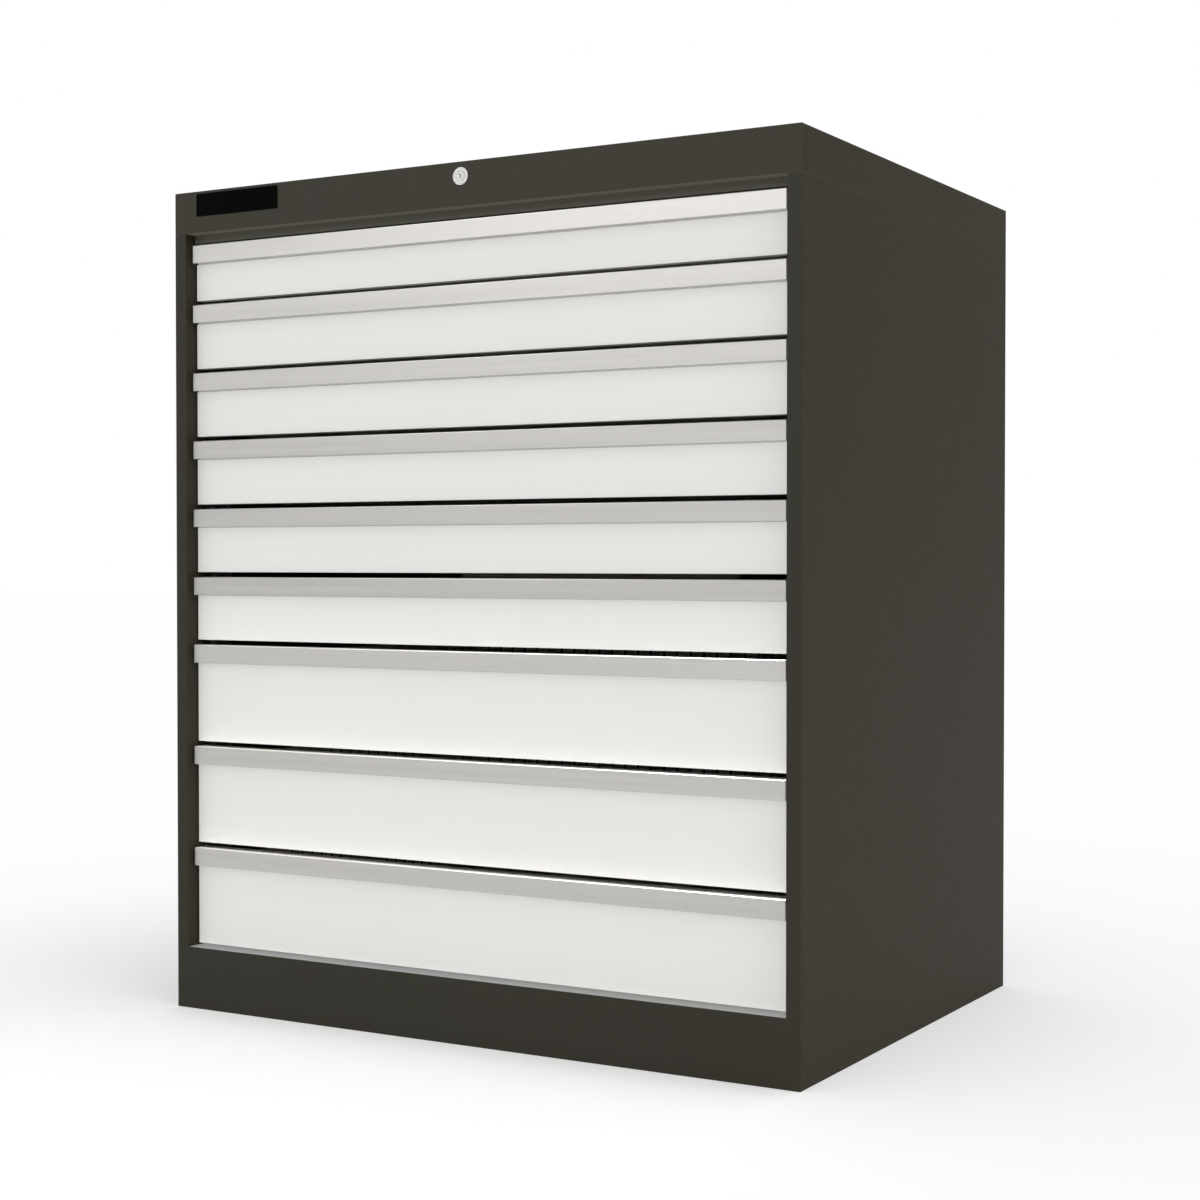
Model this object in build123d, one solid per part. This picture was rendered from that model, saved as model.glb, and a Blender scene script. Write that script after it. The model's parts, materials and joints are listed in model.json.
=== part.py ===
from build123d import *
import os

# A free-standing steel cabinet with a stack of full-width drawers.
# All lengths are millimetres.  While a piece is drawn, x runs from the cabinet's
# middle to its right, y from the front plane of the housing to its back, and z
# up from the floor.  save() then moves it so that the whole stands on its middle.

# Housing
width = 1010.0
depth = 755.0
plinth_height = 90.0
cover_height = 60.0
panel = 1.5                  # gauge of the housing's sheet
seam = 0.3                   # shadow gap between side panel and top cover
stile_width = 20.0
stile_depth = 40.0
rear_flange = 25.0
plinth_foot = 30.0           # depth of the plinth's foot flange
deck_hem = 20.0
cover_return = 20.5          # how far the header folds back under itself

# Drawer stack, from the top
low_drawer_count = 6
low_pitch = 100.0
tall_drawer_count = 3
tall_pitch = 150.0

# Rail behind the header, which hangs below it
lip_drop = 12.4
header_rail_depth = 18.0
header_rail_height = 32.4

# Slotted uprights and the angles under the top cover
upright_depth = 40.0
front_upright_set_back = 60.0
rear_upright_set_in = 75.0
upright_top_gap = 35.0
slot_pitch = 100.0
slot_height = 12.0
slot_width = 4.0
angle_up = 25.0
angle_down = 30.0
angle_in = 18.0

# Holes for bolting the cabinet to a floor
floor_flange = 33.5
floor_hole_radius = 5.5
floor_hole_inset = 18.0
floor_hole_spacing = 500.0

# Drawer front and handle
front_set_back = 21.5
front_gauge = 1.5
front_side_gap = 2.5
front_foot_gap = 3.3
front_depth = 15.5
front_hook = 12.0            # fold up at the back of the front's foot
handle_set_back = 9.0
handle_height = 26.4
handle_gap = 3.9
handle_gauge = 2.0
handle_side_gap = 5.0
handle_lip = 4.5
handle_tail = 16.0
handle_round = 1.2
scoop_rise = 10.0            # slope that leads the fingers in behind the handle
scoop_overlap = 1.0

# Drawer tray
tray_gauge = 1.2
tray_foot_gap = 6.0
tray_head_gap = 18.0
tray_rear_gap = 33.0         # to the back of the housing
tray_hem = 8.0
tray_wall_gap = 2.0          # between the handle's top and the tray's front wall

# Roller slides
tray_left_in = 45.0          # length of a tray that stays behind its front's place at full travel
rail_width = 12.0
rail_height = 34.0
rail_gauge = 2.0
rail_foot_gap = 8.0
rail_set_back = 6.0          # behind the back of the stile
rail_rear_gap = 20.0
carriage_gauge = 3.0
carriage_height = 28.0
shoe_length = 42.0           # sliding block at one end of each rail's run
carriage_side_gap = 3.0
roller_gap = 0.3             # above and below a roller in its rail
roller_end_gap = 1.5         # between a roller or a shoe and the web of its rail
roller_margin = 5.0          # rail left beyond a roller or a shoe at full travel

# Lock and the bars that it moves
lock_drop = 20.0             # lock axis below the top
lock_proud = 1.5
lock_head_radius = 12.2
lock_body_radius = 10.0
lock_body_length = 26.0
lock_hole_play = 0.25
lock_body_flats = 17.0       # width of the lock's body across its two flats
lock_clip_gauge = 1.2
lock_clip_width = 30.0
lock_clip_height = 26.0
barrel_radius = 7.0
barrel_play = 0.06
barrel_tail = 6.0
keyway_width = 1.3
keyway_height = 6.5
keyway_depth = 12.0
cam_gauge = 2.5
cam_wall = 3.0               # metal beside the crank pin
crank_radius = 10.0
pin_radius = 3.0
pin_play = 0.6
pin_overrun = 1.5
cross_bar_gauge = 3.0
cross_bar_height = 17.5
cross_bar_head_gap = 1.5     # below the top cover
cross_bar_gap = 2.5          # between the cam and the cross bar
slot_wall = 3.0              # metal left round a slot in the cross bar
lock_bar_gauge = 3.0
lock_bar_width = 11.0
lock_bar_inset = 4.0         # from the opening's edge
lock_bar_gap = 1.5           # behind the stile and behind the cross bar
lock_bar_pin_inset = 9.0
lock_bar_head_height = 18.0
lock_bar_head_drop = 22.0
lock_bar_foot = 60.0
tongue_overlap = 13.0        # width in which a tongue covers a catch
tongue_height = 8.0
tongue_low = 46.0            # above a drawer's zone
catch_low = 57.0
catch_height = 12.0
catch_gauge = 3.0
catch_side_gap = 2.0         # to the opening's edge
catch_foot = 16.0
catch_gap = 2.5
guide_gauge = 1.2
guide_play = 0.8
guide_height = 20.0
guide_low = 5.0
cradle_width = 30.0
cradle_place = 300.0
cradle_play = 0.3
cradle_lip = 10.0

# Levels and widths that follow
drawer_pitches = [low_pitch] * low_drawer_count + [tall_pitch] * tall_drawer_count
cover_low = plinth_height + sum(drawer_pitches)
height = cover_low + cover_height
half_width = width / 2
skin = half_width - panel                    # inner face of a side panel
opening = half_width - stile_width           # half the width between the stiles
back_inside = depth - 2 * panel              # front face of the back panel
header_rail_low = cover_low - lip_drop
header_rail_top = header_rail_low + header_rail_height

fixed_rail_inner = opening - rail_width
carriage_outer = fixed_rail_inner - carriage_side_gap
carriage_inner = carriage_outer - carriage_gauge
tray_half = carriage_inner - carriage_side_gap - rail_width
rail_start = stile_depth + rail_set_back
rail_end = depth - rail_rear_gap

front_half = opening - front_side_gap
handle_half = opening - handle_side_gap
recess = front_set_back + front_depth - front_gauge
tray_start = front_set_back + front_depth
tray_end = depth - tray_rear_gap
travel = tray_end - tray_start - tray_left_in

roller_radius = rail_height / 2 - rail_gauge - roller_gap
roller_width = rail_width - rail_gauge - roller_end_gap + carriage_side_gap
carriage_start = tray_start + roller_margin
carriage_end = rail_end - roller_margin
roller_place = rail_start + travel / 2 + roller_radius + roller_margin

lock_height = height - lock_drop
cam_start = lock_body_length + barrel_tail
cross_bar_start = cam_start + cam_gauge + cross_bar_gap
cross_bar_end = cross_bar_start + cross_bar_gauge
lock_bar_start = max(stile_depth, cross_bar_end) + lock_bar_gap
lock_bar_end = lock_bar_start + lock_bar_gauge
lock_bar_inner = opening + lock_bar_inset
lock_bar_outer = lock_bar_inner + lock_bar_width
crank_side = crank_radius / 2 ** 0.5         # crank pin's offset at either end of its turn
lock_travel = 2 * crank_side
catch_tip = opening - catch_side_gap
lock_bar_head_top = height - lock_bar_head_drop
lock_pin_x = opening - lock_bar_pin_inset
lock_pin_z = lock_bar_head_top - lock_bar_head_height / 2
cross_bar_top = height - panel - cross_bar_head_gap
cross_bar_low = cross_bar_top - cross_bar_height


def block(x, y, z):
    """A box between the low and high value of each pair."""
    size = [high - low for low, high in (x, y, z)]
    middle = [(low + high) / 2 for low, high in (x, y, z)]
    return Pos(*middle) * Box(*size)


def sheet(points, gauge):
    """Section of a bent sheet.  Its outside follows the points, its metal lies to their left."""
    outside = [Vector(*point) for point in points]
    runs = [(end - start).normalized() for start, end in zip(outside, outside[1:])]
    lefts = [Vector(-run.Y, run.X) for run in runs]
    inside = [outside[0] + lefts[0] * gauge]
    for corner, before, after in zip(outside[1:], lefts, lefts[1:]):
        inside.append(corner + (before + after) * (gauge / (1 + before.dot(after))))
    inside.append(outside[-1] + lefts[-1] * gauge)
    return make_face(Polyline(*outside, *reversed(inside), close=True))


def along_x(section, low, high):
    """Extrude a section drawn in y and z."""
    return extrude(Plane((low, 0, 0), (0, 1, 0), (1, 0, 0)) * section, high - low)


def along_y(section, low, high):
    """Extrude a section drawn in x and z."""
    return extrude(Plane((0, high, 0), (1, 0, 0), (0, -1, 0)) * section, high - low)


def along_z(section, low, high):
    """Extrude a section drawn in x and y."""
    return extrude(Pos(0, 0, low) * section, high - low)


def round_y(radius, low, high, x=0.0, z=0.0):
    """A round bar along y."""
    return along_y(Pos(x, z) * Circle(radius), low, high)


def slot_y(start, end, radius, low, high):
    """A round-ended slot along y, its middle line drawn from start to end in x and z."""
    run = Vector(*end) - Vector(*start)
    across = Vector(-run.Y, run.X).normalized() * radius
    a, b = Vector(*start), Vector(*end)
    body = make_face(Polyline(a + across, b + across, b - across, a - across, close=True))
    section = body + Pos(a.X, a.Y) * Circle(radius) + Pos(b.X, b.Y) * Circle(radius)
    return along_y(section, low, high)


def left_of(shape):
    """The left-hand twin of a right-hand piece."""
    return mirror(shape, about=Plane.YZ)


def zones():
    """Bottom and top of each drawer's space in the stack, from the top drawer down."""
    levels = []
    top = cover_low
    for pitch in drawer_pitches:
        levels.append((top - pitch, top))
        top -= pitch
    return levels


def handle_level(zone):
    """Top of the handle in a zone.  The rail behind the header lowers the top one."""
    bottom, top = zone
    ceiling = header_rail_low if top == cover_low else top
    return ceiling - handle_gap


# Housing

def side_panel():
    """Right side: skin with a folded stile in front, a flange behind and one on the floor."""
    post = [(skin - panel, stile_depth), (opening, stile_depth), (opening, 0), (half_width, 0)]
    wrap = [(half_width, depth), (half_width - rear_flange, depth)]
    upper = along_z(sheet(post + wrap, panel), plinth_height, cover_low - seam)
    inner_post = [(skin - panel, stile_depth), (opening, stile_depth), (opening, panel)]
    lower_post = along_z(sheet(inner_post, panel), 0, plinth_height)
    lower_skin = along_z(sheet([(half_width, panel)] + wrap, panel), 0, plinth_height)
    flange_inner = skin - floor_flange
    foot_start = stile_depth
    foot_end = back_inside - plinth_foot
    foot = block((flange_inner, skin), (foot_start, foot_end), (0, panel))
    shape = upper + lower_post + lower_skin + foot
    for side in (-1, 1):
        y = depth / 2 + side * floor_hole_spacing / 2
        shape -= Pos(half_width - floor_hole_inset, y, 0) * Cylinder(floor_hole_radius, 4 * panel)
    return shape


def back_panel():
    return block((-skin, skin), (back_inside, depth - panel), (plinth_foot, cover_low - seam))


def top_cover():
    """Shallow lid with four walls.  Its front wall is the header, folded back under itself."""
    whole = block((-half_width, half_width), (0, depth), (cover_low, height))
    hollow = block((-skin, skin), (panel, depth - panel), (cover_low, height - panel))
    fold = block((-skin, skin), (panel, cover_return), (cover_low, cover_low + panel))
    hole = round_y(lock_body_radius + lock_hole_play, -panel, 2 * panel, z=lock_height)
    return whole - hollow + fold - hole


def front_top_rail():
    """Channel across the front, behind the header, open to the back."""
    back = cover_return + header_rail_depth
    points = [(back, header_rail_top), (cover_return, header_rail_top),
              (cover_return, header_rail_low), (back, header_rail_low)]
    return along_x(sheet(points, panel), -opening, opening)


def top_frame_rails():
    """Angles that join the side panels to the top cover."""
    low, high = cover_low - angle_down, cover_low + angle_up
    points = [(skin, low), (skin, high), (skin - angle_in, high)]
    section = sheet(points, panel)
    right = along_y(section, front_upright_set_back, back_inside)
    return [right, left_of(right)]


def plinth_front():
    face = block((-half_width, half_width), (0, panel), (0, plinth_height))
    foot = block((-opening, opening), (panel, plinth_foot), (0, panel))
    return face + foot


def plinth_rear():
    """Channel under the back of the deck."""
    front = back_inside - plinth_foot
    top = plinth_height - panel
    points = [(front, 0), (back_inside, 0), (back_inside, top), (front, top)]
    return along_x(sheet(points, panel), -skin + panel, skin - panel)


def base_deck():
    """Floor of the drawer space, hemmed down in front and behind."""
    low = plinth_height - deck_hem
    back = back_inside - plinth_foot
    points = [(back, low), (back, plinth_height), (panel, plinth_height), (panel, low)]
    return along_x(sheet(points, panel), -opening, opening)


def upright(start):
    """Right-hand channel, open to the skin, with a column of slots for the rails."""
    end = start + upright_depth
    top = cover_low - upright_top_gap
    points = [(skin, end), (opening, end), (opening, start), (skin, start)]
    shape = along_z(sheet(points, panel), panel, top)
    middle = (start + end) / 2
    count = int((top - plinth_height) // slot_pitch)
    for index in range(count):
        z = plinth_height + (index + 0.5) * slot_pitch
        shape -= Pos(opening, middle, z) * Box(4 * panel, slot_width, slot_height)
    return shape


def rail_section(inner, outer, low):
    """Channel with its web on the inner x and its mouth on the outer x."""
    high = low + rail_height
    if inner < outer:
        return sheet([(outer, high), (inner, high), (inner, low), (outer, low)], rail_gauge)
    return sheet([(outer, low), (inner, low), (inner, high), (outer, high)], rail_gauge)


def fixed_rails():
    rails = []
    for bottom, top in zones():
        section = rail_section(opening, fixed_rail_inner, bottom + rail_foot_gap)
        rails.append(along_y(section, rail_start, rail_end))
    return rails


# Drawers

def drawer_front(zone):
    """Folded pan.  Its top leans back behind the handle, so that fingers can reach in."""
    bottom, top = zone
    low = bottom + front_foot_gap
    high = handle_level(zone)
    shoulder = high - handle_height - scoop_overlap
    throat = shoulder + scoop_rise
    back = tray_start
    points = [(recess, high), (recess, throat), (front_set_back, shoulder), (front_set_back, low),
              (back, low), (back, low + front_hook)]
    shape = along_x(sheet(points, front_gauge), -front_half, front_half)
    cheek = [(recess, high), (recess, throat), (front_set_back, shoulder), (front_set_back, low),
             (back, low), (back, high)]
    end = along_x(make_face(Polyline(*cheek, close=True)), front_half - front_gauge, front_half)
    return shape + end + left_of(end)


def drawer_handle(zone):
    """Full-width extrusion: a hollow hood, open below, with a small lip and a tail to the front."""
    high = handle_level(zone)
    low = high - handle_height
    points = [(recess, high - handle_tail), (recess, high), (handle_set_back, high),
              (handle_set_back, low), (handle_set_back + handle_lip, low)]
    section = sheet(points, handle_gauge)
    brow = section.vertices().sort_by_distance((handle_set_back, high))[0]
    return along_x(fillet(brow, handle_round), -handle_half, handle_half)


def drawer_tray(zone):
    """Open box with hemmed sides and a taller front wall, to which the front is fixed."""
    bottom, top = zone
    low = bottom + tray_foot_gap
    high = top - tray_head_gap
    g = tray_gauge
    inside = tray_half - g
    shell = block((-tray_half, tray_half), (tray_start, tray_end), (low, high))
    hollow = block((-inside, inside), (tray_start + g, tray_end - g), (low + g, high))
    wall_top = handle_level(zone) - tray_wall_gap
    wall = block((-tray_half, tray_half), (tray_start, tray_start + g), (low, wall_top))
    hem = block((inside - tray_hem, inside), (tray_start + g, tray_end - g), (high - g, high))
    return shell - hollow + wall + hem + left_of(hem)


def drawer_rail(zone):
    """Right-hand rail, welded to the tray's side, with its mouth outwards."""
    section = rail_section(tray_half, tray_half + rail_width, zone[0] + rail_foot_gap)
    return along_y(section, tray_start, tray_end)


def lock_catch(zone):
    """Right-hand angle on the tray's side, which a raised tongue stands in front of."""
    low = zone[0] + catch_low
    start = lock_bar_end + catch_gap
    points = [(tray_half, start + catch_foot), (tray_half, start), (catch_tip, start)]
    section = sheet(points, catch_gauge)
    return along_z(section, low, low + catch_height)


def tray_group(zone):
    """The tray with what is welded to it."""
    pieces = [drawer_tray(zone)]
    for piece in (drawer_rail(zone), lock_catch(zone)):
        pieces += [piece, left_of(piece)]
    return pieces


def carriage(zone):
    """Right-hand carriage.  Its plate carries a pair of rollers, one in each rail, and two shoes."""
    axis = zone[0] + rail_foot_gap + rail_height / 2
    plate_z = (axis - carriage_height / 2, axis + carriage_height / 2)
    shoe_z = (axis - roller_radius, axis + roller_radius)
    inner = (carriage_inner - roller_width, carriage_inner)
    outer = (carriage_outer, carriage_outer + roller_width)
    plate = block((carriage_inner, carriage_outer), (carriage_start, carriage_end), plate_z)
    front_shoe = block(inner, (carriage_start, carriage_start + shoe_length), shoe_z)
    rear_shoe = block(outer, (carriage_end - shoe_length, carriage_end), shoe_z)
    pieces = [plate, front_shoe, rear_shoe]
    for low, high in (inner, outer):
        disc = Plane((low, roller_place, axis), (0, 1, 0), (1, 0, 0)) * Circle(roller_radius)
        pieces.append(extrude(disc, high - low))
    return pieces


def slides(zone):
    right = carriage(zone)
    return right + [left_of(piece) for piece in right]


# Lock

def lock_housing():
    """Round head in front of the header, and a body with two flats behind it."""
    flats = Rectangle(lock_body_flats, 2 * lock_body_radius)
    body = along_y(Circle(lock_body_radius) & flats, 0, lock_body_length)
    head = round_y(lock_head_radius, -lock_proud, 0)
    bore = round_y(barrel_radius, -lock_proud, lock_body_length)
    return Pos(0, 0, lock_height) * (head + body - bore)


def lock_clip():
    """Fork pushed up over the flats of the lock's body, behind the header."""
    plate = Rectangle(lock_clip_width, lock_clip_height)
    notch_height = lock_clip_height / 2 + lock_body_radius
    notch = Pos(0, notch_height / 2 - lock_clip_height / 2) * Rectangle(lock_body_flats, notch_height)
    return along_y(Pos(0, lock_height) * (plate - notch), panel, panel + lock_clip_gauge)


def lock_barrel():
    barrel = round_y(barrel_radius - barrel_play, -lock_proud, cam_start)
    key = (keyway_width / 2, keyway_height / 2)
    keyway = block((-key[0], key[0]), (-lock_proud, keyway_depth), (-key[1], key[1]))
    return Pos(0, 0, lock_height) * (barrel - keyway)


def lock_cam():
    """Crank on the barrel's tail.  Its pin leans to the left while the drawers are free."""
    width = 2 * (pin_radius + cam_wall)
    length = barrel_radius + crank_radius + pin_radius + cam_wall / 2
    strip = Pos(0, length / 2 - barrel_radius) * Rectangle(width, length)
    arm = along_y(Rot(0, 0, 45) * strip, cam_start, cam_start + cam_gauge)
    pin_end = cross_bar_end + pin_overrun
    pin = round_y(pin_radius, cam_start, pin_end, -crank_side, crank_side)
    return Pos(0, 0, lock_height) * (arm + pin)


def cross_bar():
    """Bar across the front that the crank pushes sideways.  Slots at its ends lift the lock bars."""
    slot_radius = pin_radius + pin_play
    margin = slot_radius + slot_wall
    right = lock_pin_x + margin
    left = -lock_pin_x - lock_travel - margin
    y = (cross_bar_start, cross_bar_end)
    shape = block((left, right), y, (cross_bar_low, cross_bar_top))
    end_low = lock_pin_z - margin
    end_width = lock_travel + 2 * margin
    end_top = max(cross_bar_top, lock_pin_z + lock_travel + margin)
    shape += block((right - end_width, right), y, (end_low, end_top))
    shape += block((left, left + end_width), y, (end_low, end_top))
    for x in (lock_pin_x, -lock_pin_x):
        start = (x, lock_pin_z)
        end = (x - lock_travel, lock_pin_z + lock_travel)
        shape -= slot_y(start, end, slot_radius, y[0] - 1, y[1] + 1)
    crank_low = (-crank_side, lock_height + crank_side)
    crank_high = (-crank_side, lock_height + crank_radius)
    return shape - slot_y(crank_low, crank_high, slot_radius, y[0] - 1, y[1] + 1)


def lock_bar():
    """Right-hand upright bar.  A head with the lifting pin and a tongue per drawer are welded to it."""
    y = (lock_bar_start, lock_bar_end)
    bar = block((lock_bar_inner, lock_bar_outer), y, (lock_bar_foot, lock_bar_head_top))
    head_inner = lock_pin_x - pin_radius - slot_wall
    head_low = lock_bar_head_top - lock_bar_head_height
    head = block((head_inner, lock_bar_inner), y, (head_low, lock_bar_head_top))
    pin_start = cross_bar_start - pin_overrun
    pin = round_y(pin_radius, pin_start, lock_bar_start, lock_pin_x, lock_pin_z)
    pieces = [bar, head, pin]
    for bottom, top in zones():
        low = bottom + tongue_low
        tongue_inner = catch_tip - tongue_overlap
        pieces.append(block((tongue_inner, lock_bar_inner), y, (low, low + tongue_height)))
    return pieces


def lock_bar_guides():
    """Staples on the back of each stile that keep a lock bar upright."""
    inner = lock_bar_inner - guide_play - guide_gauge
    outer = lock_bar_outer + guide_play + guide_gauge
    back = lock_bar_end + guide_play + guide_gauge
    points = [(outer, stile_depth), (outer, back), (inner, back), (inner, stile_depth)]
    section = sheet(points, guide_gauge)
    levels = zones()
    pieces = []
    for bottom, top in (levels[0], levels[len(levels) // 2], levels[-1]):
        low = bottom + guide_low
        staple = along_z(section, low, low + guide_height)
        pieces += [staple, left_of(staple)]
    return pieces


def cross_bar_guides():
    """Cradles on the rail behind the header that carry the cross bar."""
    shelf = cross_bar_low - cradle_play - panel
    riser = cross_bar_start - cradle_play
    back = cross_bar_end + cradle_play + panel
    points = [(cover_return + panel, header_rail_top), (riser, header_rail_top), (riser, shelf),
              (back, shelf), (back, shelf + cradle_lip)]
    section = sheet(points, panel)
    start = cradle_place - cradle_width / 2
    right = along_x(section, start, start + cradle_width)
    return [right, left_of(right)]


def save(name, shape):
    """Write one sub-part, moved so that the cabinet's box is centred on x and y."""
    pieces = shape if isinstance(shape, list) else [shape]
    centre = Pos(0, -(depth - lock_proud) / 2, 0)
    moved = [centre * piece for piece in pieces]
    export_step(moved[0] if len(moved) == 1 else Compound(children=moved), f"parts/{name}.step")


def both_sides(name, shape):
    save(name + "_right", shape)
    save(name + "_left", [left_of(piece) for piece in shape] if isinstance(shape, list) else left_of(shape))


os.makedirs("parts", exist_ok=True)
both_sides("side_panel", side_panel())
save("back_panel", back_panel())
save("top_cover", top_cover())
save("front_top_rail", front_top_rail())
save("top_frame_rails", top_frame_rails())
save("plinth_front", plinth_front())
save("plinth_rear", plinth_rear())
save("base_deck", base_deck())
both_sides("upright_front", upright(front_upright_set_back))
both_sides("upright_rear", upright(depth - rear_upright_set_in - upright_depth))
both_sides("fixed_rails", fixed_rails())
save("lock_housing", lock_housing())
save("lock_clip", lock_clip())
save("lock_barrel", lock_barrel())
save("lock_cam", lock_cam())
save("lock_cross_bar", cross_bar())
both_sides("lock_bar", lock_bar())
save("lock_bar_guides", lock_bar_guides())
save("cross_bar_guides", cross_bar_guides())
for number, zone in enumerate(zones(), start=1):
    save(f"drawer_{number}_front", drawer_front(zone))
    save(f"drawer_{number}_handle", drawer_handle(zone))
    save(f"drawer_{number}_tray", tray_group(zone))
    save(f"drawer_{number}_slides", slides(zone))
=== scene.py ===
import json
import math

import bmesh
import bpy
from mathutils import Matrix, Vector


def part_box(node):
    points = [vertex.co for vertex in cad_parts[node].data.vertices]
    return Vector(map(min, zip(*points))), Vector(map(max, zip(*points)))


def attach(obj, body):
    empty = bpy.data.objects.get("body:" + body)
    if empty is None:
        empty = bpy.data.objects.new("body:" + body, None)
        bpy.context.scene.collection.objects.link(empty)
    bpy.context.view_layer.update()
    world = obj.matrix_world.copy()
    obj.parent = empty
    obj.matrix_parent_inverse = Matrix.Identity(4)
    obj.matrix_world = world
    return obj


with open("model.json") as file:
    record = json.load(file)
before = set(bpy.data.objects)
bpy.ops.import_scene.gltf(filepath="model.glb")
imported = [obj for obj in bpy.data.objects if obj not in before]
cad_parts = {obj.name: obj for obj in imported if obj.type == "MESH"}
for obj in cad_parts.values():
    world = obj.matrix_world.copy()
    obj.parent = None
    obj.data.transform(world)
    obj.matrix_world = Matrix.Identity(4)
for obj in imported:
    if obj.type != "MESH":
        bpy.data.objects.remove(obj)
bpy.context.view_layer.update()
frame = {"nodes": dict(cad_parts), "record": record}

# A steel cabinet with a stack of full-width drawers.  Lengths are metres, in the frame of the
# CAD model: x runs to the cabinet's right, y to its back and z up from the floor.
nodes = frame["nodes"]
front_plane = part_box("plinth_front")[0].y
slot_of = {row["node"]: row["material_slot"] for row in frame["record"]["subparts"]}
fronts = [name for name in nodes if name.startswith("drawer_") and name.endswith("_front")]
drawer_numbers = range(1, 1 + len(fronts))


# Camera, solved from the edges of the cabinet in the photograph
camera_place = Vector((1.5839, front_plane - 2.3633, 0.6600))
camera_yaw = math.radians(30.034)
camera_pitch = math.radians(1.0727)
camera_lens = 62.75           # millimetres
sensor_width = 36.0


def make_camera():
    data = bpy.data.cameras.new("camera")
    data.lens = camera_lens
    data.sensor_width = sensor_width
    camera = bpy.data.objects.new("camera", data)
    bpy.context.scene.collection.objects.link(camera)
    camera.location = camera_place
    camera.rotation_euler = (math.pi / 2 - camera_pitch, 0, camera_yaw)
    bpy.context.scene.camera = camera


# Node helpers

def set_input(tree, socket, value):
    """Links a socket to another one, or gives it a constant."""
    if isinstance(value, bpy.types.NodeSocket):
        tree.links.new(value, socket)
    else:
        socket.default_value = value


def add(tree, kind, **values):
    """A node of that kind, with its sockets set or linked by name."""
    made = tree.nodes.new(kind)
    for name, value in values.items():
        set_input(tree, made.inputs[name.replace("_", " ")], value)
    return made


def new_material(name, base, roughness, metallic=0.0, specular=0.5):
    """A material with one Principled shader.  Its constant values sit on the shader's own sockets."""
    material = bpy.data.materials.new(name)
    material.use_nodes = True
    shader = material.node_tree.nodes["Principled BSDF"]
    shader.inputs["Base Color"].default_value = (*base, 1)
    shader.inputs["Roughness"].default_value = roughness
    shader.inputs["Metallic"].default_value = metallic
    shader.inputs["Specular IOR Level"].default_value = specular
    return material, material.node_tree, shader


def object_point(tree, stretch=(1, 1, 1)):
    """The point on the piece in metres, scaled along each axis."""
    source = tree.nodes.new("ShaderNodeTexCoord").outputs["Object"]
    return add(tree, "ShaderNodeMapping", Vector=source, Scale=stretch).outputs[0]


def coordinates(tree):
    """The x, y and z of the point on the piece, each as a value."""
    source = tree.nodes.new("ShaderNodeTexCoord").outputs["Object"]
    return add(tree, "ShaderNodeSeparateXYZ", Vector=source).outputs


def noise(tree, scale, detail=2.0, stretch=(1, 1, 1)):
    """Fractal noise from 0 to 1.  The scale is its lumps per metre."""
    made = add(tree, "ShaderNodeTexNoise", Vector=object_point(tree, stretch), Scale=scale, Detail=detail)
    return made.outputs["Fac"]


def spread(tree, value, low, high):
    """A 0 to 1 value, squeezed into low to high."""
    made = add(tree, "ShaderNodeMapRange", Value=value, To_Min=low, To_Max=high)
    return made.outputs["Result"]


def blend_colors(tree, value, first, second):
    """A colour between two, picked by a value whose middle stretch is used."""
    ramp = tree.nodes.new("ShaderNodeValToRGB")
    for element, position, color in zip(ramp.color_ramp.elements, (0.35, 0.65), (first, second)):
        element.position = position
        element.color = (*color, 1)
    tree.links.new(value, ramp.inputs["Fac"])
    return ramp.outputs["Color"]


def mix_colors(tree, share, first, second, blend_type="MIX"):
    """The first colour with a share of the second.  Each value is a socket or a constant."""
    made = tree.nodes.new("ShaderNodeMix")
    made.data_type = "RGBA"
    made.blend_type = blend_type
    color_a, color_b = made.inputs[6], made.inputs[7]
    for socket, value in ((made.inputs["Factor"], share), (color_a, first), (color_b, second)):
        set_input(tree, socket, value)
    return made.outputs[2]


def bump(tree, height, depth, under=None):
    """A normal from a height map that is depth metres from low to high."""
    made = add(tree, "ShaderNodeBump", Height=height, Distance=depth, Strength=1.0)
    if under is not None:
        tree.links.new(under, made.inputs["Normal"])
    return made.outputs["Normal"]


def math_node(tree, operation, *values):
    """A Math node.  Each value is a socket or a number."""
    made = tree.nodes.new("ShaderNodeMath")
    made.operation = operation
    for socket, value in zip(made.inputs, values):
        set_input(tree, socket, value)
    return made.outputs[0]


def within(tree, value, low, high):
    """1 where the value lies between low and high, else 0."""
    return math_node(tree, "COMPARE", value, (low + high) / 2, (high - low) / 2)


def stripes(tree, value, pitch, width):
    """1 on lines of that width, once per pitch, else 0."""
    phase = math_node(tree, "PINGPONG", value, pitch / 2)
    return math_node(tree, "LESS_THAN", phase, width / 2)


# Materials

def textured_paint(name, first, second, roughness, grain_depth, peel_depth, specular=0.2):
    """Powder coat: fine grain over a slow ripple, with a faint drift in its colour."""
    material, tree, shader = new_material(name, first, roughness, specular=specular)
    drift = noise(tree, 3.0, 3.0)
    tree.links.new(blend_colors(tree, drift, first, second), shader.inputs["Base Color"])
    gloss = noise(tree, 60.0, 3.0)
    tree.links.new(spread(tree, gloss, roughness - 0.05, roughness + 0.05), shader.inputs["Roughness"])
    ripple = bump(tree, noise(tree, 180.0, 1.0), peel_depth)
    grain = bump(tree, noise(tree, 900.0, 2.0), grain_depth, ripple)
    tree.links.new(grain, shader.inputs["Normal"])
    return material


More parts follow.
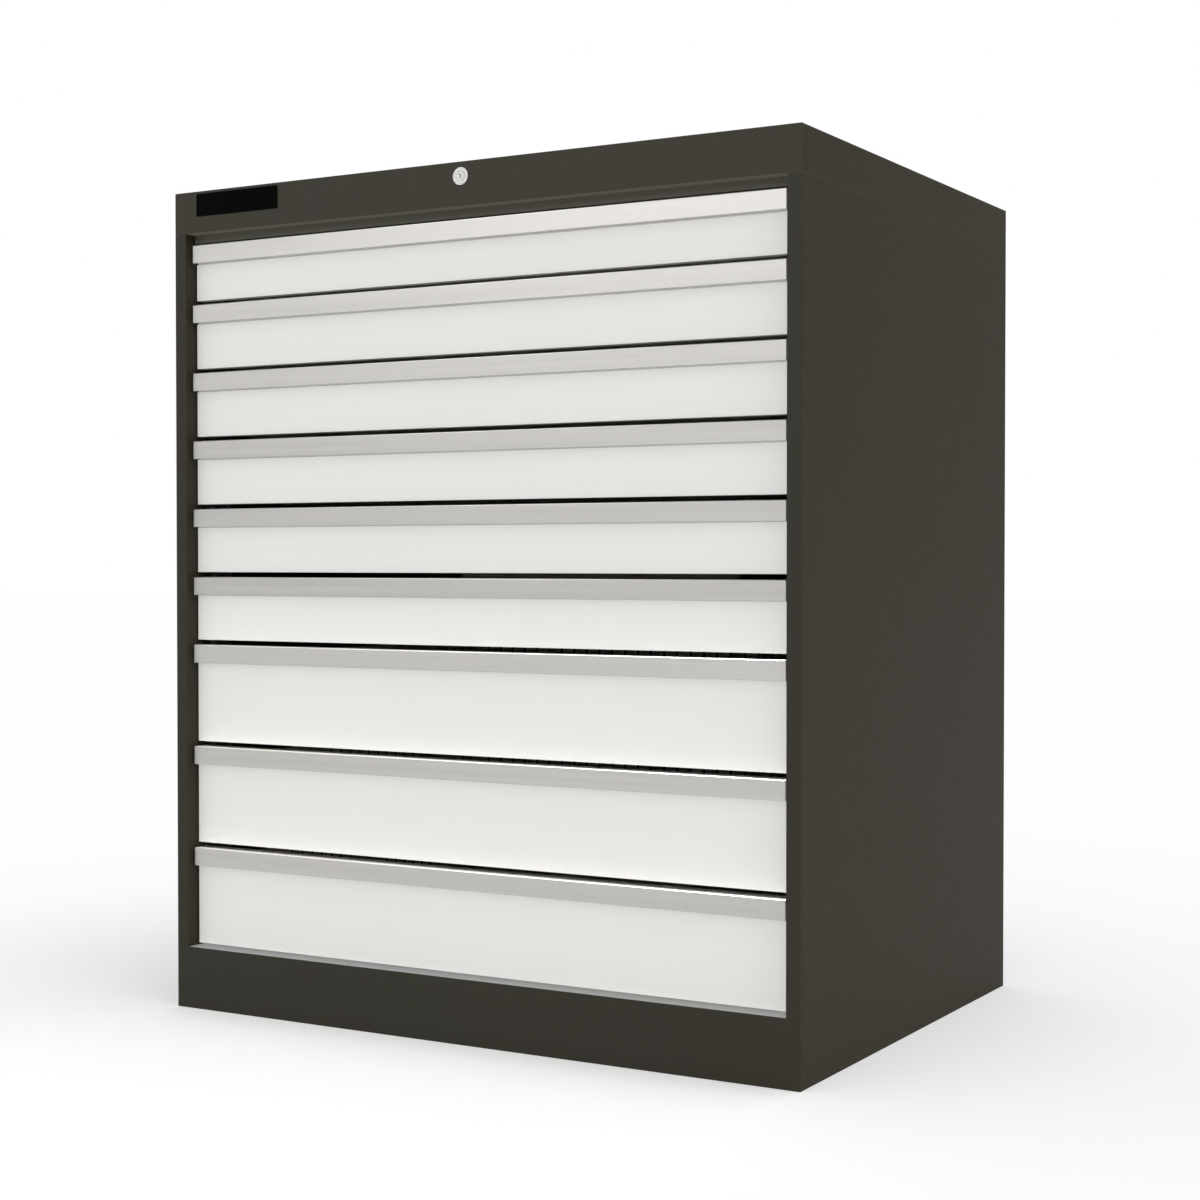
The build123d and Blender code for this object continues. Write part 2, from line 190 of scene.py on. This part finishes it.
def brushed_metal(name, base, roughness, along, metallic=1.0, line_depth=0.000012):
    """Satin metal with fine lines along one axis of the frame."""
    material, tree, shader = new_material(name, base, roughness, metallic=metallic)
    stretch = tuple(0.012 if axis == along else 1.0 for axis in "xyz")
    lines = noise(tree, 1600.0, 3.0, stretch)
    streaks = noise(tree, 120.0, 3.0, stretch)
    darker = tuple(value * 0.93 for value in base)
    tree.links.new(blend_colors(tree, streaks, darker, base), shader.inputs["Base Color"])
    tree.links.new(spread(tree, lines, roughness - 0.06, roughness + 0.06), shader.inputs["Roughness"])
    tree.links.new(bump(tree, lines, line_depth), shader.inputs["Normal"])
    return material


def galvanised(name, light, dark, roughness):
    """Zinc coat: pale and dull flakes of a few millimetres."""
    material, tree, shader = new_material(name, light, roughness, metallic=0.85)
    flakes = add(tree, "ShaderNodeTexVoronoi", Vector=object_point(tree), Scale=110.0)
    tone = add(tree, "ShaderNodeSeparateColor", Color=flakes.outputs["Color"]).outputs[0]
    tree.links.new(blend_colors(tree, tone, dark, light), shader.inputs["Base Color"])
    tree.links.new(spread(tree, tone, roughness - 0.08, roughness + 0.08), shader.inputs["Roughness"])
    tree.links.new(bump(tree, noise(tree, 500.0), 0.00002), shader.inputs["Normal"])
    return material


# Trays: half their width without the slide rails, and the partition slots in their walls
tray_half = 0.4520
tray_gauge = 0.0012
slot_pitch = 0.025
slot_width = 0.0030
slot_rise = 0.044             # above a tray's foot
slot_drop = 0.011             # below its hem
slot_row_gap = 0.012
slot_front_margin = 0.045     # from a side wall's front end to its slots
slot_corner_margin = 0.020    # from a wall's other ends to its slots
tall_slots = 0.070            # a wall with more room than this has two rows

# Slide carriages: faces of the plate, inner face of the rollers and their place along y
plate_inner, plate_outer = 0.4670, 0.4700
roller_inner = 0.4555
roller_place = front_plane + 0.3857

face_margin = 0.0002          # how far off a tray's wall its material still takes a point as the wall
plate_margin = 0.00002        # the same for a carriage's plate
# Painted shade: the partition slots are not cut through the trays' walls, so this dark colour stands in for
# the shade seen through them
slot_hole_painted_shade = (0.018, 0.018, 0.018, 1)
light_paint = ((0.728, 0.738, 0.714), (0.740, 0.730, 0.708), 0.42, 0.00001, 0.00002)


def tray_finish_painted_slot_holes(number):
    """A tray's paint.  Rows of upright slots for partitions are painted dark on all four of its walls:
    painted shade where the holes would be, since the walls are not cut.
    """
    tray = nodes[f"drawer_{number}_tray"]
    low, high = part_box(tray.name)
    behind_front = low.y + 0.1
    side_top = max(corner.co.z for corner in tray.data.vertices if corner.co.y > behind_front)
    material = textured_paint(f"tray_finish_with_painted_shade_{number}", *light_paint)
    tree = material.node_tree
    base = tree.nodes["Principled BSDF"].inputs["Base Color"]
    point = coordinates(tree)
    from_middle = math_node(tree, "ABSOLUTE", point["X"])

    on_side = within(tree, from_middle, tray_half - tray_gauge - 2 * face_margin, tray_half + face_margin)
    slotted_length = within(tree, point["Y"], low.y + slot_front_margin, high.y - slot_corner_margin)
    on_side = math_node(tree, "MULTIPLY", on_side, slotted_length)
    on_end = math_node(tree, "LESS_THAN", from_middle, tray_half - slot_corner_margin)
    along_side = math_node(tree, "MULTIPLY", on_side, stripes(tree, point["Y"], slot_pitch, slot_width))
    along_end = math_node(tree, "MULTIPLY", on_end, stripes(tree, point["X"], slot_pitch, slot_width))

    foot, head = low.z + slot_rise, side_top - slot_drop
    rows = 1 if head - foot < tall_slots else 2
    row_height = (head - foot - (rows - 1) * slot_row_gap) / rows
    in_rows = 0.0
    for row in range(rows):
        row_foot = foot + row * (row_height + slot_row_gap)
        in_row = within(tree, point["Z"], row_foot, row_foot + row_height)
        in_rows = math_node(tree, "ADD", in_rows, in_row)

    slots = math_node(tree, "MULTIPLY", math_node(tree, "ADD", along_side, along_end), in_rows)
    paint = base.links[0].from_socket
    # Painted shade: the dark slot colour is mixed over the paint wherever a slot would be
    tree.links.new(mix_colors(tree, slots, paint, slot_hole_painted_shade), base)
    return material


def carriage_finish(name, steel, nylon):
    """Zinc-plated carriage plate with pale nylon rollers and shoes on both its faces."""
    material, tree, shader = new_material(name, nylon, 0.42)
    from_middle = math_node(tree, "ABSOLUTE", coordinates(tree)["X"])
    on_plate = within(tree, from_middle, plate_inner - plate_margin, plate_outer + plate_margin)
    color = mix_colors(tree, on_plate, (*nylon, 1), (*steel, 1))
    grey = blend_colors(tree, noise(tree, 90.0, 3.0), (0.75, 0.75, 0.75), (1, 1, 1))
    tree.links.new(mix_colors(tree, 0.25, color, grey, "MULTIPLY"), shader.inputs["Base Color"])
    tree.links.new(on_plate, shader.inputs["Metallic"])
    tree.links.new(bump(tree, noise(tree, 700.0), 0.00001), shader.inputs["Normal"])
    return material


# Finishes by material slot, and by node where a piece has one of its own
finishes = {
    "dark_paint": textured_paint("dark_textured_paint", (0.0313, 0.0299, 0.0225), (0.0328, 0.0299, 0.0227),
                                 0.50, 0.00007, 0.00004, 0.10),
    "light_paint": textured_paint("light_smooth_paint", *light_paint),
    "handle_metal": brushed_metal("anodised_aluminium", (0.560, 0.547, 0.526), 0.38, "x", metallic=0.85),
    "zinc": galvanised("galvanised_steel", (0.52, 0.53, 0.53), (0.40, 0.41, 0.42), 0.45),
    "carriage_steel": carriage_finish("plated_carriage", (0.50, 0.50, 0.49), (0.62, 0.61, 0.57)),
    "lock_metal": brushed_metal("satin_nickel", (0.47, 0.465, 0.455), 0.42, "z"),
    # Painted light: the rail's paint is the dark paint made lighter, standing in for the light that the
    # band under the header takes from below
    "front_top_rail": textured_paint("lip_rail_painted_light", (0.094, 0.092, 0.073), (0.098, 0.093, 0.073),
                                     0.45, 0.00004, 0.00004),
    "base_deck": textured_paint("deck_grey", (0.104, 0.108, 0.106), (0.112, 0.116, 0.112),
                                0.5, 0.00001, 0.00003),
}
for number in drawer_numbers:
    finishes[f"drawer_{number}_tray"] = tray_finish_painted_slot_holes(number)
rivet_metal = galvanised("rivet_steel", (0.60, 0.60, 0.59), (0.52, 0.52, 0.52), 0.38)


# Stage and light

floor_size = 60.0
floor_drop = 0.0002           # below the feet, so that they don't share a plane with the floor
floor_glow = 0.24             # what the camera sees beyond the light that the floor returns
world_strength = 0.50
lamp_distance = 6.0           # where a far light's lamp stands.  Its light is the same from anywhere
gap_color = (1.0, 0.86, 0.78)
top_seen_from = 0.05          # how far below the camera a handle's top starts to show


def pick_for_camera(tree, plain, seen, output):
    """Sends one shader to the output for the camera's own rays, and the other for the rest."""
    pick = tree.nodes.new("ShaderNodeMixShader")
    is_camera = tree.nodes.new("ShaderNodeLightPath").outputs["Is Camera Ray"]
    for socket, value in zip(pick.inputs, (is_camera, plain, seen)):
        tree.links.new(value, socket)
    tree.links.new(pick.outputs[0], output.inputs["Surface"])


def make_stage():
    """A pale floor that only the camera sees glow, so that it fades into the white behind it."""
    bpy.ops.mesh.primitive_plane_add(size=floor_size, location=(0, 0, -floor_drop))
    floor = bpy.context.object
    floor.name = "floor"
    material, tree, shader = new_material("pale_floor", (0.88, 0.88, 0.88), 0.9, specular=0.0)
    cloud = blend_colors(tree, noise(tree, 0.4, 2.0), (0.875, 0.875, 0.88), (0.885, 0.885, 0.885))
    tree.links.new(cloud, shader.inputs["Base Color"])
    glow = add(tree, "ShaderNodeEmission", Strength=floor_glow)
    both = tree.nodes.new("ShaderNodeAddShader")
    tree.links.new(shader.outputs[0], both.inputs[0])
    tree.links.new(glow.outputs[0], both.inputs[1])
    pick_for_camera(tree, shader.outputs[0], both.outputs[0], tree.nodes["Material Output"])
    floor.data.materials.append(material)


def make_world():
    """Even pale light all round.  The camera sees plain white."""
    world = bpy.data.worlds.new("studio")
    bpy.context.scene.world = world
    world.use_nodes = True
    tree = world.node_tree
    tree.nodes.clear()
    plain = add(tree, "ShaderNodeBackground", Color=(1, 1, 1, 1), Strength=world_strength)
    white = add(tree, "ShaderNodeBackground", Color=(1, 1, 1, 1), Strength=1.0)
    output = tree.nodes.new("ShaderNodeOutputWorld")
    pick_for_camera(tree, plain.outputs[0], white.outputs[0], output)


def soft_box(name, place, aim, size, watts):
    """An area light that neither the camera nor a glossy face sees."""
    data = bpy.data.lights.new(name, "AREA")
    data.shape = "RECTANGLE"
    data.size, data.size_y = size
    data.energy = watts
    lamp = bpy.data.objects.new(name, data)
    bpy.context.scene.collection.objects.link(lamp)
    lamp.location = place
    lamp.rotation_euler = (Vector(aim) - Vector(place)).to_track_quat("-Z", "Y").to_euler()
    lamp.visible_camera = False
    lamp.visible_glossy = False


def group(name, pieces):
    """A collection of those pieces, for a lamp to light or to be shaded by."""
    made = bpy.data.collections.new(name)
    for piece in pieces:
        made.objects.link(piece)
    return made


def far_light(name, azimuth, elevation, spread_angle, strength, color=(1, 1, 1), only=(), shaded_by=()):
    """A distant light, with its angles in degrees.  Azimuth runs from straight in front to the right.

    Where pieces are given, it lights only those, or only those shade it.
    """
    data = bpy.data.lights.new(name, "SUN")
    data.energy = strength
    data.angle = math.radians(spread_angle)
    data.color = color
    lamp = bpy.data.objects.new(name, data)
    bpy.context.scene.collection.objects.link(lamp)
    turn, rise = math.radians(azimuth), math.radians(elevation)
    towards = Vector((math.sin(turn) * math.cos(rise), -math.cos(turn) * math.cos(rise), math.sin(rise)))
    lamp.location = towards * lamp_distance
    lamp.rotation_euler = towards.to_track_quat("Z", "Y").to_euler()
    if only:
        lamp.light_linking.receiver_collection = group(name + "_receivers", only)
    if shaded_by:
        lamp.light_linking.blocker_collection = group(name + "_blockers", shaded_by)


def make_lights():
    """Lamps that match the photograph.  Numbers are azimuth, elevation, spread angle and strength."""
    cabinet = list(nodes.values())
    floor = bpy.data.objects["floor"]
    cover, deck, back = nodes["top_cover"], nodes["base_deck"], nodes["back_panel"]
    handles = [piece for name, piece in nodes.items() if name.endswith("_handle")]
    low_handles = [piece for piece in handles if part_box(piece.name)[1].z < camera_place.z - top_seen_from]
    trays = [piece for name, piece in nodes.items() if name.endswith("_tray")]
    dark = [piece for name, piece in nodes.items() if slot_of[name] == "dark_paint"]
    pale = [piece for piece in cabinet if piece not in dark]
    inside = [piece for name, piece in nodes.items()
              if piece in (back, *trays) or slot_of[name] in ("zinc", "carriage_steel")]
    outside = [piece for piece in cabinet if piece not in inside]
    # In the photograph neither the handles nor the stiles throw a shadow on the fronts
    shading = [piece for name, piece in nodes.items()
               if piece not in handles and not name.startswith("side_panel")]

    far_light("front_high", -31, 29, 32, 1.20, only=outside, shaded_by=shading)
    far_light("front_high_inside", -31, 29, 32, 1.20, only=inside, shaded_by=cabinet)

    # What shows through the gaps: undersides above the camera, walls below it, the back level with it
    far_light("gaps_from_below", 30, -7, 14, 1.0, gap_color, only=trays, shaded_by=cabinet)
    far_light("gaps_from_above", 30, 6, 12, 0.42, gap_color, only=trays, shaded_by=cabinet)
    far_light("sixth_gap", 30, 0.42, 0.8, 2.4, (1.0, 0.93, 0.88), only=[back], shaded_by=cabinet)

    far_light("overhead", 70, 78, 56, 1.13, only=[floor])
    far_light("handle_tops", -10, 86, 6, 16, only=low_handles)
    far_light("deck_ledge", 10, 11, 6, 34, only=[deck])
    far_light("right", 82, 20, 40, 1.10, (1.0, 0.95, 0.88), only=pale)
    far_light("right_warm", 82, 20, 40, 1.30, (1.0, 0.76, 0.46), only=dark)
    far_light("rear", 205, 28, 40, 0.75, only=cabinet)
    far_light("cover_lip", 0, -84, 6, 6.5, only=[cover], shaded_by=[cover])
    soft_box("low", (0.2, front_plane - 3.0, 0.10), (0, front_plane, 0.75), (3.6, 0.7), 20)


# Small pieces

edge_round = 0.0005
dark_edge_round = 0.0002      # keeps the highlights on dark edges thin

# Plain plate, by its distances from the top cover's left side and from its top
plate_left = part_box("top_cover")[0].x + 0.0410
plate_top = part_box("top_cover")[1].z - 0.0038
plate_width = 0.1500
plate_height = 0.0330
plate_round = 0.0020
plate_inner_round = 0.0008
plate_rim = 0.0016
plate_field_depth = 0.0007
plate_rim_low = 0.0006        # in front of the header
plate_rim_high = 0.0011

# Rivet heads: radius and height, and their places on trays and carriages
tray_rivet = (0.0035, 0.0014)
tray_rivet_level = 0.019      # above a tray's foot
rivets_per_wall = 5
front_rivet_pitch = 0.200
side_rivet_start = 0.045      # behind a tray's front wall
side_rivet_pitch = 0.150
shoe_rivet = (0.0032, 0.0012)
shoe_rivet_insets = (0.010, 0.032)
axle_end = (0.0045, 0.0009)


def soften(piece, width):
    """Welds the facets' corners and rounds the piece's sharp edges a little."""
    weld = piece.modifiers.new("weld", "WELD")
    weld.merge_threshold = 0.00001
    bevel = piece.modifiers.new("bevel", "BEVEL")
    bevel.width = width
    bevel.segments = 2
    bevel.limit_method = "ANGLE"
    bevel.angle_limit = math.radians(40)
    bevel.harden_normals = True


def skin(mesh, rings):
    """Faces between each ring of corners and the next one."""
    for ring, after in zip(rings, rings[1:]):
        for index, corner in enumerate(ring):
            follow = (index + 1) % len(ring)
            mesh.faces.new((corner, ring[follow], after[follow], after[index]))


def new_piece(name, mesh):
    """An object in the scene, from a bmesh that it uses up."""
    data = bpy.data.meshes.new(name)
    mesh.to_mesh(data)
    mesh.free()
    piece = bpy.data.objects.new(name, data)
    bpy.context.scene.collection.objects.link(piece)
    return piece


def outline_ring(mesh, outline, y):
    """Corners along an outline in x and z, at one y."""
    return [mesh.verts.new((x, y, z)) for x, z in outline]


def rounded_plate(inset, radius, steps=6):
    """Outline of the plate in x and z, drawn in by inset, with round corners."""
    left, right = plate_left + inset, plate_left + plate_width - inset
    low, high = plate_top - plate_height + inset, plate_top - inset
    outline = []
    corners = ((left + radius, low + radius, 180), (right - radius, low + radius, 270),
               (right - radius, high - radius, 0), (left + radius, high - radius, 90))
    for x, z, start in corners:
        for step in range(steps + 1):
            turn = math.radians(start + 90 * step / steps)
            outline.append((x + radius * math.cos(turn), z + radius * math.sin(turn)))
    return outline


def blank_plate():
    """Plain black plate on the left of the header, with a low rim."""
    outer = rounded_plate(0, plate_round)
    inner = rounded_plate(plate_rim, plate_inner_round)

    mesh = bmesh.new()
    front = outline_ring(mesh, outer, front_plane - plate_field_depth)
    back = outline_ring(mesh, outer, front_plane)
    skin(mesh, (front, back))
    mesh.faces.new(front)
    mesh.faces.new(reversed(back))
    bmesh.ops.recalc_face_normals(mesh, faces=mesh.faces)
    field = new_piece("blank_plate_field", mesh)

    mesh = bmesh.new()
    low, high = front_plane - plate_rim_low, front_plane - plate_rim_high
    section = ((outer, low), (outer, high), (inner, high), (inner, low))
    rings = [outline_ring(mesh, outline, y) for outline, y in section]
    skin(mesh, rings + rings[:1])
    bmesh.ops.recalc_face_normals(mesh, faces=mesh.faces)
    border = new_piece("blank_plate_rim", mesh)

    black = textured_paint("black_enamel", (0.0020, 0.0020, 0.0020), (0.0028, 0.0027, 0.0025),
                           0.35, 0.000004, 0.00001, specular=0.03)
    for piece in (field, border):
        soften(piece, dark_edge_round)
        piece.data.materials.append(black)
        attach(piece, "housing")


def rivet_row(name, body, heads, size, segments=16):
    """Domed rivet heads in one mesh.  Each is given by its seat and the way that it faces."""
    radius, height = size
    dome = ((1.0, 0.0), (0.97, 0.40), (0.80, 0.75), (0.45, 0.95))    # shares of radius and height
    mesh = bmesh.new()
    for seat, facing in heads:
        turn = Vector(facing).to_track_quat("Z", "Y").to_matrix()
        rings = []
        for share, rise in dome:
            ring = []
            for step in range(segments):
                angle = 2 * math.pi * step / segments
                across = Vector((math.cos(angle), math.sin(angle), 0)) * radius * share
                ring.append(mesh.verts.new(Vector(seat) + turn @ (across + Vector((0, 0, height * rise)))))
            rings.append(ring)
        skin(mesh, rings)
        mesh.faces.new(rings[-1])
    piece = new_piece(name, mesh)
    for face in piece.data.polygons:
        face.use_smooth = True
    piece.data.materials.append(rivet_metal)
    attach(piece, body)


def drawer_rivets(number):
    """Heads inside a tray: along its front wall, and along both its sides where the rails are."""
    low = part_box(f"drawer_{number}_tray")[0]
    level = low.z + tray_rivet_level
    heads = []
    for step in range(rivets_per_wall):
        x = front_rivet_pitch * (step - (rivets_per_wall - 1) / 2)
        heads.append(((x, low.y + tray_gauge, level), (0, 1, 0)))
    for side in (-1, 1):
        for step in range(rivets_per_wall):
            y = low.y + side_rivet_start + side_rivet_pitch * step
            heads.append(((side * (tray_half - tray_gauge), y, level), (-side, 0, 0)))
    rivet_row(f"drawer_{number}_rivets", f"drawer_{number}", heads, tray_rivet)


def carriage_rivets(number):
    """Heads of the rivets that hold the sliding shoes, and the two ends of each roller axle."""
    low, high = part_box(f"drawer_{number}_slides")
    level = (low.z + high.z) / 2
    heads, ends = [], []
    for side in (-1, 1):
        for inset in shoe_rivet_insets:
            heads.append(((side * plate_outer, low.y + inset, level), (side, 0, 0)))
            heads.append(((side * plate_inner, high.y - inset, level), (-side, 0, 0)))
        ends.append(((side * high.x, roller_place, level), (side, 0, 0)))
        ends.append(((side * roller_inner, roller_place, level), (-side, 0, 0)))
    rivet_row(f"carriage_{number}_rivets", f"carriage_{number}", heads, shoe_rivet)
    rivet_row(f"carriage_{number}_axles", f"carriage_{number}", ends, axle_end)


make_camera()
make_stage()
make_world()
make_lights()

for name, piece in nodes.items():
    finish = finishes.get(name, finishes[slot_of[name]])
    piece.data.materials.clear()
    piece.data.materials.append(finish)
    soften(piece, dark_edge_round if finish == finishes["dark_paint"] else edge_round)

blank_plate()
for number in drawer_numbers:
    drawer_rivets(number)
    carriage_rivets(number)

bpy.context.scene.view_settings.view_transform = "Standard"
